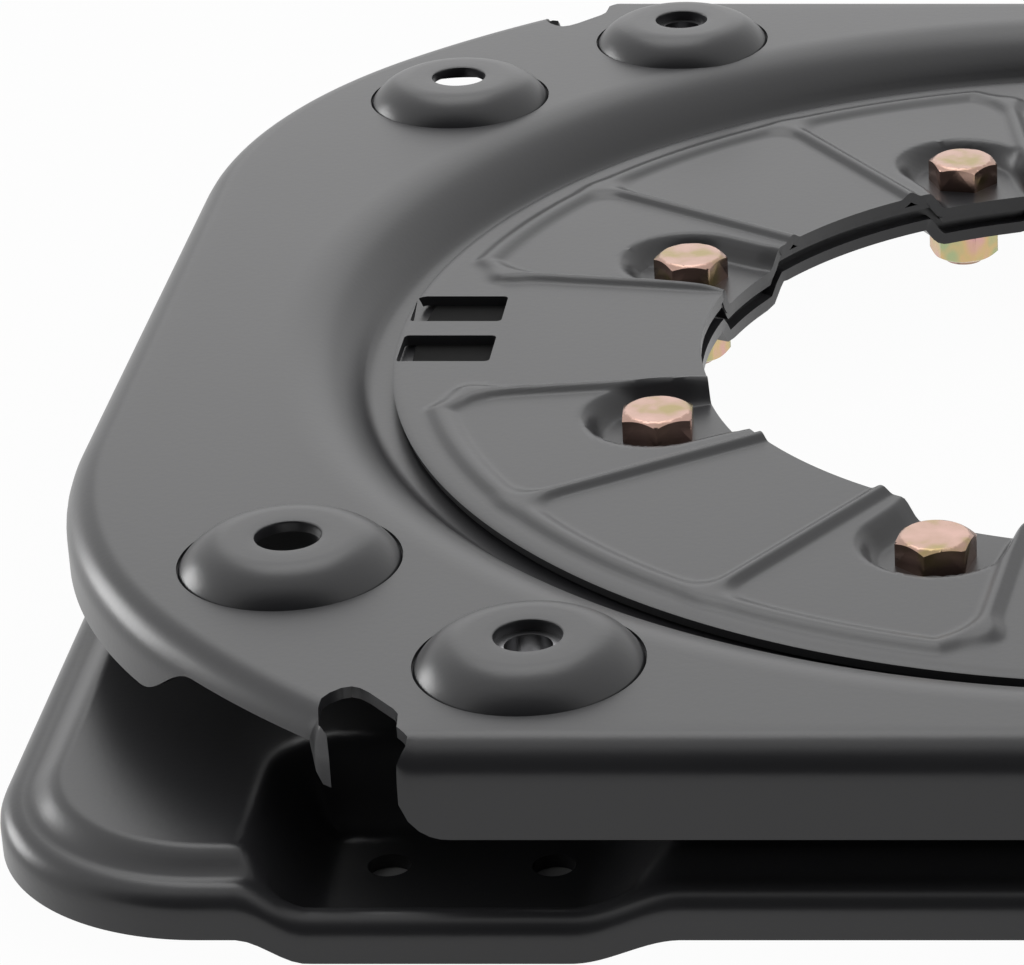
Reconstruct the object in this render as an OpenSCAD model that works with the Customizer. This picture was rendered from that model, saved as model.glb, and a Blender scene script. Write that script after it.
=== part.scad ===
// Swivel seat base: a pressed turntable between a seat box and a seat.
// Origin: the swivel axis, on the plane that the feet stand on. X runs across, -Y is the front.

/* [Upper plate] */
// Half width of the upper plate over its side flanges
upper_half_x = 241; // [236:1:248]
// Half depth of the upper plate over its front and rear flanges
upper_half_y = 224; // [222:1:230]
// Radius of the corner arcs, struck from the swivel axis
corner_arc_r = 272; // [270:1:278]
// Radius that blends each side into its corner arc
side_blend_r = 60; // [50:5:70]
// Sheet thickness of the upper plate
upper_sheet = 2.5; // [2:0.1:3]
// Outside radius of the flange bend
upper_bend_r = 8; // [6:0.5:9]
// Height of the front, rear and side flanges, from the flat top
flange_h = 20.5; // [19:0.5:21.5]
// Height of the flange round the corners
corner_flange_h = 15; // [13:0.5:17]
// Height of the cut-back flange beside each corner notch
cutback_flange_h = 7; // [6:0.5:8]
// Depth of the dished centre below the flat top
dish_depth = 12; // [10:0.5:13]
// Radius at which the flat top starts to dip
dish_top_r = 206; // [205:0.5:207]
// Radius of the dish's rounded shoulder
dish_shoulder_r = 23.5; // [20:0.5:26]
// Steepest slope of the dish, in degrees
dish_slope = 50; // [45:1:55]
// Inner radius of the turning rim
rim_inner_r = 150; // [149:0.5:152]

/* [Seat bosses] */
// Half spacing across of the outer seat holes
outer_hole_x = 183; // [181:0.5:185]
// Half spacing in depth of the outer seat holes
outer_hole_y = 141; // [139:0.5:143]
// Half spacing across of the inner seat holes
inner_hole_x = 127; // [125:0.5:129]
// Half spacing in depth of the inner seat holes
inner_hole_y = 187; // [186:0.5:188]
// Height of a boss above the flat top
boss_h = 6; // [5:0.5:7]
// Radius of a boss at its foot
boss_foot_r = 23.5; // [22:0.5:25]
// Radius of a boss's flat top
boss_flat_r = 13; // [12.5:0.5:14]
// Radius of a seat hole
seat_hole_r = 7; // [6:0.5:7.5]
// Radius of the weld nuts' bore under the inner holes
weld_nut_bore_r = 5; // [4:0.5:5.5]
// Width across flats of the weld nuts
weld_nut_flats = 18; // [17:0.5:20]
// Height of the weld nuts
weld_nut_h = 8; // [6:0.5:9]

/* [Corner notches] */
// Distance from the centre plane to a notch's inner side
notch_inner_x = 151; // [150:0.5:153]
// Distance from the centre plane to a notch's outer side
notch_outer_x = 168; // [166:0.5:170]
// Distance from the swivel axis to a notch's deepest point, in depth
notch_top_y = 199; // [197:0.5:204]
// Distance in depth at which a notch's slanted side ends
notch_side_y = 211; // [209:0.5:213]

/* [Lower plate] */
// Half width of the lower plate
lower_half_x = 239.5; // [236:1:240]
// Half depth of the lower plate
lower_half_y = 224; // [223:1:226]
// Corner radius of the lower plate
lower_corner_r = 52; // [45:1:53]
// Sheet thickness of the lower plate
lower_sheet = 3; // [2.5:0.1:3.2]
// Height of the lower plate's main face
deck_z = 20; // [19:0.5:20.5]
// Height of the ledge round the lower plate's edge
ledge_z = 16; // [15:0.5:16.5]
// Height of the skirt's bottom edge
skirt_z = 5.5; // [4:0.5:6]
// Width of the ledge, from the skirt's face to the foot of the step
ledge_w = 8.5; // [7.5:0.5:9.5]
// Width of the sloping step between ledge and main face
step_w = 4; // [3.5:0.5:5]
// Outside radius of the ledge's rounded nose
nose_r = 5; // [4:0.5:6]
// Height of the raised centre's top face
centre_z = 33.5; // [32:0.5:34]
// Radius of the raised centre's flat top
centre_flat_r = 193; // [190:0.5:194]
// Radius of the rounded top edge of the raised centre
centre_edge_r = 6; // [5:0.5:7]
// Slope of the raised centre's wall, in degrees
centre_wall_slope = 65; // [62:1:68]

/* [Feet] */
// Nearest distance of a foot's floor to the centre plane
foot_near_x = 117; // [115:1:119]
// Farthest distance of a foot's floor from the centre plane
foot_far_x = 171; // [169:1:172]
// Length of the gentle rise at a foot's near end
foot_near_rise = 20; // [17:1:22]
// Length of the steep rise at a foot's far end
foot_far_rise = 12; // [10:1:13]
// Distance in depth to a foot's back edge
foot_back_y = 178; // [176:1:182]
// Height of the ledge where it dips over a foot
foot_ledge_z = 10; // [9:0.5:11]
// Distance across to the near fixing hole
fix_near_x = 124; // [122:0.5:127]
// Distance across to the far fixing hole
fix_far_x = 158; // [154:0.5:162]
// Distance in depth to the fixing holes
fix_y = 190; // [187:0.5:194]
// Radius of the fixing holes
fix_hole_r = 4.5; // [4:0.5:5]

/* [Clamp] */
// Radius of the central opening
opening_r = 107; // [104:0.5:108]
// Radius of the circle of clamp bolts
bolt_circle_r = 123; // [122:0.5:125]
// Sheet thickness of the clamp disc
disc_sheet = 2.5; // [2:0.1:3]
// Outer radius of the clamp disc
disc_r = 178; // [176:0.5:179]
// Thickness of the spacer plate
spacer_t = 3; // [2.6:0.1:3.1]
// Thickness of the shim above the spacer plate
shim_t = 1.5; // [1:0.1:1.8]
// Thickness of each slide ring
slide_t = 0.9; // [0.6:0.1:1.2]
// Gap between a slide ring and the turning rim
slide_gap = 0.1; // [0.1:0.05:0.2]
// Gap between the spacer plate's edge and the turning rim
guide_gap = 0.3; // [0.2:0.05:0.4]
// Depth of the pressed seats under the bolt heads
pad_depth = 5; // [4:0.5:5.5]
// Radius of a bolt seat's flat floor
pad_r = 13.6; // [12.5:0.1:14.5]
// Width of the slope round a bolt seat
pad_slope_w = 4; // [3.5:0.1:4.5]
// Angle of the outer beads from the middle of their group
edge_bead_angle = 32; // [31.5:0.5:33]
// Angle at which the outer beads meet the central opening
edge_bead_foot = 29; // [28:0.5:30]
// Angle of the inner beads from the middle of their group
inner_bead_angle = 11; // [10:0.5:11.5]
// Radius of the curved beads
ring_bead_r = 169; // [167:0.5:170]
// Height of the beads
bead_h = 1.6; // [1.2:0.1:2]
// Width of the beads
bead_w = 6; // [5:0.5:7]
// Reach of the disc's tongue, from the swivel axis
tongue_r = 185.4; // [182:0.1:185.4]
// Start of the tongue along Y
tongue_low_y = -17.5; // [-20:0.5:-17]
// End of the tongue along Y
tongue_high_y = 37; // [30:0.5:38]
// Length of the two slots in the tongue
slot_len = 24; // [20:0.5:25]
// Width of the two slots
slot_w = 15.5; // [12:0.5:16]
// Outer end of the slots, from the swivel axis
slot_outer_x = 180.5; // [178:0.5:181]
// Middle of the lower slot along Y
slot_low_y = -8.7; // [-9:0.1:-8]
// Middle of the upper slot along Y
slot_high_y = 15.5; // [14:0.5:18]

/* [Clamp bolts] */
// Shank radius of the clamp bolts
bolt_r = 5; // [4:0.5:5]
// Radial clearance of the bolts in their holes
bolt_clear = 0.5; // [0.3:0.1:0.8]
// Radial clearance of the bolts in nuts and washers
thread_clear = 0.05; // [0.03:0.01:0.08]
// Width across flats of heads and nuts
hex_flats = 16; // [15:0.5:17]
// Height of the bolt heads
head_h = 6.4; // [5.5:0.1:7]
// Height of the nuts
nut_h = 8.4; // [7:0.1:9]
// Thickness of the washers
washer_t = 2; // [1.5:0.1:2.5]
// Outer radius of the washers
washer_r = 10; // [9.5:0.5:11]
// Length of thread that stands out under the nuts
thread_out = 1.5; // [1:0.5:3]

/* [Turn stop] */
// Turn of the upper plate between its stops, in degrees
turn_range = 180; // [90:5:180]
// Direction of the stop tab from the swivel axis, in degrees
stop_angle = -60; // [-70:1:-50]
// Half width of the stop tab, in degrees
stop_half = 5; // [4:0.5:7]
// Depth of the stop groove in the spacer plate's edge
stop_depth = 6.7; // [5:0.1:8]

/* [Lock] */
// Pivot of the lock lever across
pivot_x = 224; // [222:0.5:226]
// Pivot of the lock lever in depth
pivot_y = 70; // [64:1:74]
// Radius of the pivot journal
pivot_r = 5; // [4:0.5:6]
// Running clearance of the lever on its journal
pivot_clear = 0.05; // [0.03:0.01:0.08]
// Radius of the stud's shoulder
shoulder_r = 8; // [7:0.5:9]
// Thickness of the lock lever
lever_t = 3.5; // [3:0.5:3.5]
// Width of the lock lever
lever_w = 15; // [13:0.5:16]
// Height of the lever's underside above the lower plate's main face
lever_rise = 2.5; // [2.2:0.1:3]
// Swing of the lever from free to locked, in degrees
lever_swing = 6; // [5:0.5:6.5]
// Distance of the free latch nose from the swivel axis
nose_free_r = 205; // [204.5:0.5:206]
// Width of the latch nose
latch_w = 14; // [12:0.5:16]
// Play of the latch nose in its window
latch_play = 1; // [0.8:0.1:1.5]
// Distance across of the grip's tip
grip_tip_x = 231; // [229:0.5:232]
// Distance in depth of the grip's tip
grip_tip_y = 190; // [184:1:192]
// Length of the grip
grip_len = 46; // [40:1:50]
// Thickness of the grip's wall
grip_wall = 1.2; // [1:0.1:1.2]

/* [Hidden] */

steel_black = [0.16, 0.16, 0.17];
zinc_yellow = [0.83, 0.68, 0.5];
slide_ivory = [0.85, 0.82, 0.74];
spring_steel = [0.5, 0.5, 0.52];
grip_black = [0.09, 0.09, 0.09];

far = 600;
overlap = 1;
round_fn = 96;
small_fn = 48;
arc_steps = 5;
corners = [[1, 1], [-1, 1], [-1, -1], [1, -1]];
bolt_angles = [for (i = [0:7]) 22.5 + 45 * i];
// Each hexagon is turned as it happened to be tightened.
bolt_turns = [4, 17, -2, 27, 10, 8, 21, -6];

// Heights of the clamped stack, from the raised centre up.
rim_bottom = centre_z + slide_t + slide_gap;
rim_top = rim_bottom + upper_sheet;
disc_bottom = rim_top + slide_gap + slide_t;
disc_top = disc_bottom + disc_sheet;
spacer_top = centre_z + spacer_t;
flat_top = rim_top + dish_depth;
boss_top = flat_top + boss_h;
pad_top = disc_top - pad_depth;
pad_under = centre_z - pad_depth - lower_sheet;

// Each pressed layer's bolt seats are a little wider than those of the layer above.
nest_gap = 0.15;
shim_top = disc_bottom;

function arc_points(cx, cz, r, from, to, n = arc_steps) =
    [for (i = [0:n]) let (a = from + (to - from) * i / n) [cx + r * cos(a), cz + r * sin(a)]];
function polar(r, a) = [r * cos(a), r * sin(a)];
function turned(p, a) = [p[0] * cos(a) - p[1] * sin(a), p[0] * sin(a) + p[1] * cos(a)];
function ease(u) = u * u * (3 - 2 * u);
function mix_points(a, b, u) = [for (i = [0:len(a) - 1]) a[i] * (1 - u) + b[i] * u];

// Copies a shape to the four corners of the plates.
module at_corners() {
    for (m = [0, 1], n = [0, 1]) mirror([m, 0, 0]) mirror([0, n, 0]) children();
}

module ring(r_in, r_out, z, h) {
    translate([0, 0, z]) difference() {
        cylinder(r = r_out, h = h, $fn = round_fn);
        translate([0, 0, -overlap]) cylinder(r = r_in, h = h + 2 * overlap, $fn = round_fn);
    }
}

// A sector of a ring, from one angle to another.
module ring_sector(r_in, r_out, z, h, from, to) {
    rotate([0, 0, from]) rotate_extrude(angle = to - from, $fn = round_fn)
        translate([r_in, z]) square([r_out - r_in, h]);
}

// Each side of the upper plate turns into its corner arcs through a short slanted run.
blend_centre_x = upper_half_x - side_blend_r;
blend_centre_y = sqrt(pow(corner_arc_r - side_blend_r, 2) - pow(blend_centre_x, 2));
blend_angle = atan2(blend_centre_y, blend_centre_x) / 2;
blend_reach = blend_centre_x * cos(blend_angle) + blend_centre_y * sin(blend_angle) + side_blend_r;

// A lid's section between two opposite edges, with true arcs at its shoulders.
module lid_section(reach, bend, top, low) {
    translate([-reach, low]) square([2 * reach, top - bend - low]);
    translate([bend - reach, low]) square([2 * (reach - bend), top - low]);
    for (s = [-1, 1]) translate([s * (reach - bend), top - bend]) circle(r = bend, $fn = small_fn);
}

module lid_run(reach, bend, top, low) {
    rotate([90, 0, 90]) translate([0, 0, -far / 2]) linear_extrude(far) lid_section(reach, bend, top, low);
}

// Solid lid with rounded edges: a turned disc cut to its straight edges.
module lid(inset, top, low) {
    bend = upper_bend_r - inset;
    intersection() {
        rotate_extrude($fn = round_fn) intersection() {
            lid_section(corner_arc_r - inset, bend, top, low);
            translate([0, low]) square([far, far]);
        }
        lid_run(upper_half_y - inset, bend, top, low);
        rotate([0, 0, 90]) lid_run(upper_half_x - inset, bend, top, low);
        rotate([0, 0, 90 + blend_angle]) lid_run(blend_reach - inset, bend, top, low);
        rotate([0, 0, 90 - blend_angle]) lid_run(blend_reach - inset, bend, top, low);
    }
}

module pressed_outline() {
    difference() {
        lid(0, flat_top, flat_top - flange_h);
        lid(upper_sheet, flat_top - upper_sheet, flat_top - flange_h - overlap);
        translate([0, 0, -overlap]) cylinder(r = dish_top_r + dish_lap / 4, h = far, $fn = round_fn);
    }
}

// The dish: rounded shoulder, slope and flat turning rim.
dish_foot_r = dish_top_r - dish_shoulder_r * sin(dish_slope)
    - (dish_depth - dish_shoulder_r * (1 - cos(dish_slope))) / tan(dish_slope);
dish_under_r = dish_shoulder_r - upper_sheet;
dish_foot_under_r = dish_top_r - dish_under_r * sin(dish_slope)
    - (dish_depth + upper_sheet - dish_shoulder_r + dish_under_r * cos(dish_slope)) / tan(dish_slope);

// The turned centre laps into the flat top, a hair inside its faces.
dish_lap = 2;
dish_steps = 10;
hair = 0.01;

module dish() {
    top = flat_top - hair;
    shoulder_z = top - dish_shoulder_r;
    rotate_extrude($fn = round_fn) polygon(concat(
        [[dish_top_r + dish_lap, top - upper_sheet + 2 * hair], [dish_top_r + dish_lap, top]],
        arc_points(dish_top_r, shoulder_z, dish_shoulder_r, 90, 90 + dish_slope, dish_steps),
        [[dish_foot_r, rim_top], [rim_inner_r, rim_top],
            [rim_inner_r, rim_bottom], [dish_foot_under_r, rim_bottom]],
        arc_points(dish_top_r, shoulder_z + 2 * hair, dish_under_r, 90 + dish_slope, 90, dish_steps)));
}

// A domed boss: flat top, round shoulder and a crease at its foot.
boss_arc_r = (pow(boss_foot_r - boss_flat_r, 2) + boss_h * boss_h) / (2 * boss_h);
boss_arc_end = asin((boss_arc_r - boss_h) / boss_arc_r);
boss_inner_r = boss_flat_r + (boss_arc_r - upper_sheet) * cos(boss_arc_end);
// The shoulder's curve runs on into the sheet.
boss_sink = 0.4;
boss_sunk_end = asin((boss_arc_r - boss_h - boss_sink) / boss_arc_r);

module boss_form() {
    translate([0, 0, flat_top]) rotate_extrude($fn = small_fn) polygon(concat(
        [[0, -boss_sink], [0, boss_h]],
        arc_points(boss_flat_r, boss_h - boss_arc_r, boss_arc_r, 90, boss_sunk_end)));
}

// What is hollow under a boss.
module boss_void() {
    translate([0, 0, flat_top]) rotate_extrude($fn = small_fn) polygon(concat(
        [[0, -2 * upper_sheet], [0, boss_h - upper_sheet]],
        arc_points(boss_flat_r, boss_h - boss_arc_r, boss_arc_r - upper_sheet, 90, boss_arc_end),
        [[boss_inner_r, -2 * upper_sheet]]));
    cylinder(r = seat_hole_r, h = far, $fn = small_fn);
}

module at_bosses() {
    for (c = corners) {
        translate([c[0] * outer_hole_x, c[1] * outer_hole_y, 0]) children();
        translate([c[0] * inner_hole_x, c[1] * inner_hole_y, 0]) children();
    }
}

// What is cut out of one corner: the notch, and the flange that is lower beside it.
module corner_cut() {
    low = flat_top - flange_h - overlap;
    notch_round = 5;
    translate([0, 0, -overlap]) linear_extrude(far) polygon([
        [notch_outer_x, far], [notch_outer_x, notch_top_y + notch_round],
        [notch_outer_x - notch_round, notch_top_y], [notch_inner_x + notch_round, notch_top_y + notch_round],
        [notch_inner_x, notch_side_y], [notch_inner_x, far]]);
    sector_cut(low, flat_top - corner_flange_h, corner_from, 90);
    sector_cut(low, flat_top - cutback_flange_h, cutback_from, cutback_to);
}
// Directions from which the corner flange is lower, and between which it is cut back to its bend.
corner_from = 25;
cutback_from = 39.5;
cutback_to = 50.6;

// Takes away the flange below a height, between two directions, outside the notch's inner side.
module sector_cut(low, high, from, to) {
    inner = 215;
    intersection() {
        translate([0, 0, low]) linear_extrude(high - low) polygon([
            polar(inner, from), polar(far, from), polar(far, (from + to) / 2), polar(far, to),
            polar(inner, to), polar(inner, (from + to) / 2)]);
        translate([notch_inner_x + overlap, 0, low - overlap]) cube([far, far, far]);
    }
}

// The tab that meets the ends of the groove in the spacer plate's edge.
stop_tab_gap = 0.6;
module stop_tab() {
    ring_sector(rim_inner_r - stop_depth + stop_tab_gap, rim_inner_r + overlap, rim_bottom + hair,
        upper_sheet - 2 * hair, stop_angle - stop_half, stop_angle + stop_half);
}

module upper_plate() color(steel_black) difference() {
    union() {
        pressed_outline();
        dish();
        at_bosses() boss_form();
        stop_tab();
    }
    at_bosses() boss_void();
    at_corners() corner_cut();
}

// Section of the lower plate's edge against the distance d inwards from its face.
// Top line from the main face to the skirt, then back along the underside.
function edge_line(deck, ledge, low, back) = concat(
    [[back, deck], [ledge_w + step_w, deck], [ledge_w, ledge]],
    arc_points(nose_r, ledge - nose_r, nose_r, 90, 180),
    [[0, low], [lower_sheet, low]],
    arc_points(nose_r, ledge - nose_r, nose_r - lower_sheet, 180, 90),
    [[ledge_w + lower_sheet * 0.4, ledge - lower_sheet],
        [ledge_w + step_w + lower_sheet * 0.4, deck - lower_sheet], [back, deck - lower_sheet]]);

module edge_run(half, half_len) {
    rotate([90, 0, 90]) translate([0, 0, -half_len]) linear_extrude(2 * half_len)
        polygon([for (p = edge_line(deck_z, ledge_z, skirt_z, lower_corner_r)) [half - p[0], p[1]]]);
}

module lower_outline() {
    straight_x = lower_half_x - lower_corner_r;
    straight_y = lower_half_y - lower_corner_r;
    for (s = [0, 180]) rotate([0, 0, s]) {
        edge_run(lower_half_y, straight_x);
        rotate([0, 0, -90]) edge_run(lower_half_x, straight_y);
    }
    at_corners() translate([straight_x, straight_y, 0]) rotate_extrude(angle = 90, $fn = round_fn)
        polygon([for (p = edge_line(deck_z, ledge_z, skirt_z, lower_corner_r)) [lower_corner_r - p[0], p[1]]]);
    translate([-straight_x, -straight_y, deck_z - lower_sheet])
        cube([2 * straight_x, 2 * straight_y, lower_sheet]);
}

// The raised centre with its rounded edge and steep wall.
centre_edge_x = centre_flat_r + centre_edge_r * sin(centre_wall_slope);
centre_edge_z = centre_z - centre_edge_r * (1 - cos(centre_wall_slope));
centre_foot_r = centre_edge_x + (centre_edge_z - deck_z) / tan(centre_wall_slope);
centre_in_r = centre_edge_r - lower_sheet;
centre_in_x = centre_flat_r + centre_in_r * sin(centre_wall_slope);
centre_in_z = centre_z - centre_edge_r + centre_in_r * cos(centre_wall_slope);
centre_in_foot_r = centre_in_x + (centre_in_z - deck_z + lower_sheet) / tan(centre_wall_slope);
centre_out_r = centre_foot_r + 1;

module raised_centre() {
    rotate_extrude($fn = round_fn) polygon(concat(
        [[opening_r, centre_z]],
        arc_points(centre_flat_r, centre_z - centre_edge_r, centre_edge_r, 90, 90 - centre_wall_slope),
        [[centre_foot_r, deck_z], [centre_out_r, deck_z], [centre_out_r, deck_z - lower_sheet],
            [centre_in_foot_r, deck_z - lower_sheet]],
        arc_points(centre_flat_r, centre_z - centre_edge_r, centre_in_r, 90 - centre_wall_slope, 90),
        [[opening_r, centre_z - lower_sheet]]));
}

// A foot: deck, ledge and skirt dip towards a floor that stands on the seat box.
foot_start = foot_near_x - foot_near_rise;
foot_end = foot_far_x + foot_far_rise;
foot_back_rise = 9;
foot_in_y = foot_back_y - foot_back_rise;
foot_steps = 4;
foot_lip_y = lower_half_y - ledge_w;
// Line along X that falls from z_high to z_low and rises again.
function dip_line(z_high, z_low) = concat(
    [for (i = [0:foot_steps]) let (u = i / foot_steps)
        [foot_start + foot_near_rise * u, z_high + (z_low - z_high) * ease(u)]],
    [for (i = [0:foot_steps]) let (u = i / foot_steps)
        [foot_far_x + foot_far_rise * u, z_low + (z_high - z_low) * ease(u)]]);
function backwards(list) = [for (i = [len(list) - 1:-1:0]) list[i]];

// A shape drawn as [x, z] and pulled along Y.
module pulled_y(y_from, y_to, points) {
    translate([0, y_to, 0]) rotate([90, 0, 0]) linear_extrude(y_to - y_from) polygon(points);
}

// A shape drawn as [y, z] and pulled along X.
module pulled_x(x_from, x_to, points) {
    translate([x_from, 0, 0]) rotate([90, 0, 90]) linear_extrude(x_to - x_from) polygon(points);
}

module foot_body() {
    under = lower_sheet + 0.4;
    intersection() {
        pulled_y(foot_in_y - 1, lower_half_y - 1, concat(
            [for (p = dip_line(deck_z - lower_sheet, 0)) p],
            [[foot_end + 1, deck_z - lower_sheet], [foot_end + 1, deck_z - 1],
                [foot_start - 1, deck_z - 1], [foot_start - 1, deck_z - lower_sheet]]));
        pulled_x(foot_start - 2, foot_end + 2, [
            [foot_in_y - 0.5, deck_z - 0.5], [foot_in_y - 0.5, deck_z - under], [foot_back_y - 2, 0],
            [foot_lip_y + 1.6, 0], [foot_lip_y + 2.6, foot_ledge_z - 1], [foot_lip_y + 2.6, deck_z - 0.5]]);
    }
    pulled_y(foot_lip_y + 0.4, lower_half_y - 1, concat(
        dip_line(ledge_z, foot_ledge_z),
        backwards(dip_line(ledge_z - lower_sheet, foot_ledge_z - lower_sheet))));
    pulled_y(lower_half_y - lower_sheet, lower_half_y, concat(
        dip_line(ledge_z, foot_ledge_z), backwards(dip_line(skirt_z, 0))));
}

// What is pressed away above a foot.
module foot_void() {
    intersection() {
        pulled_y(foot_in_y - 2, lower_half_y, concat(
            dip_line(deck_z, lower_sheet), [[foot_end, deck_z + overlap], [foot_start, deck_z + overlap]]));
        pulled_x(foot_start - 1, foot_end + 1, [
            [foot_in_y - 0.5, deck_z + overlap], [foot_in_y, deck_z], [foot_back_y, lower_sheet],
            [foot_lip_y - 1.2, lower_sheet], [foot_lip_y, foot_ledge_z], [foot_lip_y, deck_z + overlap]]);
    }
    pulled_y(foot_lip_y - 0.1, lower_half_y + overlap, concat(
        dip_line(ledge_z, foot_ledge_z), [[foot_end, deck_z + overlap], [foot_start, deck_z + overlap]]));
    // The nose is rounded along the foot.
    translate([foot_near_x - 1, lower_half_y - nose_r, foot_ledge_z - nose_r]) rotate([90, 0, 90])
        linear_extrude(foot_far_x - foot_near_x + 2) difference() {
            square(nose_r + overlap);
            circle(r = nose_r, $fn = round_fn);
        }
}

module at_fixings() {
    for (c = corners, x = [fix_near_x, fix_far_x]) translate([c[0] * x, c[1] * fix_y, 0]) children();
}

// Half width of a seat's channel as a share of the seat's radius.
channel_share = 0.86;

// Solid of a bolt seat: a cone with a channel that opens to the central hole.
module pad_solid(z_top, grow) {
    seat_r = pad_r + grow;
    channel_half = seat_r * channel_share;
    for (a = bolt_angles) rotate([0, 0, a]) {
        translate([bolt_circle_r, 0, z_top - pad_depth])
            cylinder(r1 = seat_r, r2 = seat_r + pad_slope_w, h = pad_depth, $fn = small_fn);
        translate([bolt_circle_r - 2 * pad_r, 0, z_top]) rotate([90, 0, 90])
            linear_extrude(2 * pad_r) polygon([
                [-channel_half, -pad_depth], [channel_half, -pad_depth],
                [channel_half + pad_slope_w, 0], [-channel_half - pad_slope_w, 0]]);
    }
}

// The same seat continued upwards, as a cutter.
module pad_cut(z_top, grow) {
    lift = bead_h + 0.6;
    seat_r = pad_r + grow;
    channel_half = seat_r * channel_share;
    slope = pad_slope_w / pad_depth;
    for (a = bolt_angles) rotate([0, 0, a]) {
        translate([bolt_circle_r, 0, z_top - pad_depth])
            cylinder(r1 = seat_r, r2 = seat_r + (pad_depth + lift) * slope, h = pad_depth + lift, $fn = small_fn);
        translate([bolt_circle_r - 2 * pad_r, 0, z_top]) rotate([90, 0, 90])
            linear_extrude(2 * pad_r) polygon([
                [-channel_half, -pad_depth], [channel_half, -pad_depth],
                [channel_half + (pad_depth + lift) * slope, lift],
                [-channel_half - (pad_depth + lift) * slope, lift]]);
    }
}

module bolt_holes() {
    for (a = bolt_angles) rotate([0, 0, a]) translate([bolt_circle_r, 0, -overlap])
        cylinder(r = bolt_r + bolt_clear, h = far, $fn = small_fn);
}

// A flat ring of sheet with the eight bolt seats pressed into it.
module pressed_ring(z_top, t, r_in, r_out, grow) {
    difference() {
        union() {
            translate([0, 0, z_top - t]) cylinder(r = r_out, h = t, $fn = round_fn);
            pad_solid(z_top - t, grow);
        }
        pad_cut(z_top, grow);
        bolt_holes();
        translate([0, 0, -overlap]) cylinder(r = r_in, h = far, $fn = round_fn);
    }
}

// The window in the raised centre's wall that takes the latch nose.
nose_tip = [nose_free_r, 0];
nose_from_pivot = nose_tip - [pivot_x, pivot_y];
nose_locked = [pivot_x, pivot_y] + turned(nose_from_pivot, -lever_swing);
module latch_window() {
    window_half = latch_w / 2 + 2 * latch_play;
    translate([nose_locked[0] - far / 2, nose_locked[1] - window_half, lever_z - latch_play])
        translate([far / 2 - 6, 0, 0]) cube([30, 2 * window_half, lever_t + 2 * latch_play]);
}

module lower_plate() color(steel_black) difference() {
    union() {
        difference() {
            union() {
                lower_outline();
                at_corners() foot_body();
            }
            translate([0, 0, -overlap]) cylinder(r = centre_out_r, h = far, $fn = round_fn);
        }
        raised_centre();
        difference() {
            pad_solid(centre_z - lower_sheet, 3 * nest_gap);
            translate([0, 0, -overlap]) cylinder(r = opening_r, h = far, $fn = round_fn);
        }
    }
    at_corners() foot_void();
    pad_cut(centre_z, 3 * nest_gap);
    bolt_holes();
    at_fixings() translate([0, 0, -overlap]) cylinder(r = fix_hole_r, h = deck_z, $fn = small_fn);
    for (s = [0, 180]) rotate([0, 0, s]) latch_window();
}

// Round-backed bead: a circle segment that stands above the sheet.
bead_arc_r = (bead_w * bead_w / 4 + bead_h * bead_h) / (2 * bead_h);
module bead_section() {
    intersection() {
        translate([0, bead_h - bead_arc_r]) circle(r = bead_arc_r, $fn = small_fn);
        translate([-bead_w, -disc_sheet / 4]) square([2 * bead_w, 2 * bead_w]);
    }
}

// A straight bead from one point to another.
module straight_bead(from, to) {
    way = to - from;
    translate([from[0], from[1], disc_top]) rotate([0, 0, atan2(way[1], way[0])]) rotate([90, 0, 90])
        linear_extrude(norm(way)) bead_section();
}

// A group is struck about its own middle, taken as the X axis.
module bead_group() {
    for (m = [0, 1]) mirror([0, m, 0]) {
        straight_bead(polar(opening_r - 3, inner_bead_angle), polar(ring_bead_r - 0.3, inner_bead_angle));
        straight_bead(polar(opening_r - 3, edge_bead_foot), polar(ring_bead_r - 0.3, edge_bead_angle - 0.4));
    }
    rotate([0, 0, -edge_bead_angle]) rotate_extrude(angle = 2 * edge_bead_angle, $fn = round_fn)
        translate([ring_bead_r, disc_top]) bead_section();
}

module tongue() {
    tongue_in = disc_r - 30;
    intersection() {
        translate([0, 0, disc_bottom]) cylinder(r = tongue_r, h = disc_sheet, $fn = round_fn);
        translate([-far, tongue_low_y, disc_bottom])
            cube([far - tongue_in, tongue_high_y - tongue_low_y, disc_sheet]);
    }
}

module clamp_disc() color(steel_black) difference() {
    union() {
        pressed_ring(disc_top, disc_sheet, opening_r, disc_r, 0);
        tongue();
        difference() {
            for (a = [45:90:315]) rotate([0, 0, a]) bead_group();
            pad_cut(disc_top, 0);
            translate([0, 0, -overlap]) cylinder(r = opening_r, h = far, $fn = round_fn);
        }
    }
    for (y = [slot_low_y, slot_high_y])
        translate([-slot_outer_x, y - slot_w / 2, disc_bottom - overlap])
            cube([slot_len, slot_w, disc_sheet + 2 * overlap]);
}

// The spacer plate keeps the clamp open and guides the turning rim. Its groove limits the turn.
spacer_r = rim_inner_r - guide_gap;
stop_play = 0.15;
module spacer_plate() color(steel_black) difference() {
    pressed_ring(spacer_top, spacer_t, opening_r + 3, spacer_r, 2 * nest_gap);
    ring_sector(rim_inner_r - stop_depth, rim_inner_r + overlap, centre_z - overlap,
        spacer_t + 2 * overlap, stop_angle - stop_half - stop_play, stop_angle + stop_half + stop_play + turn_range);
}

shim_r = 143;
module shim_ring() color(steel_black)
    pressed_ring(shim_top, shim_top - spacer_top, opening_r + 0.5, shim_r, nest_gap);

slide_in_r = rim_inner_r + 3;
slide_out_r = disc_r - 2;
module lower_slide_ring() color(slide_ivory) ring(slide_in_r, slide_out_r, centre_z, slide_t);
module upper_slide_ring() color(slide_ivory)
    ring(slide_in_r, slide_out_r, disc_bottom - slide_t, slide_t);

hex_r = hex_flats / 2 / cos(30);
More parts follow.
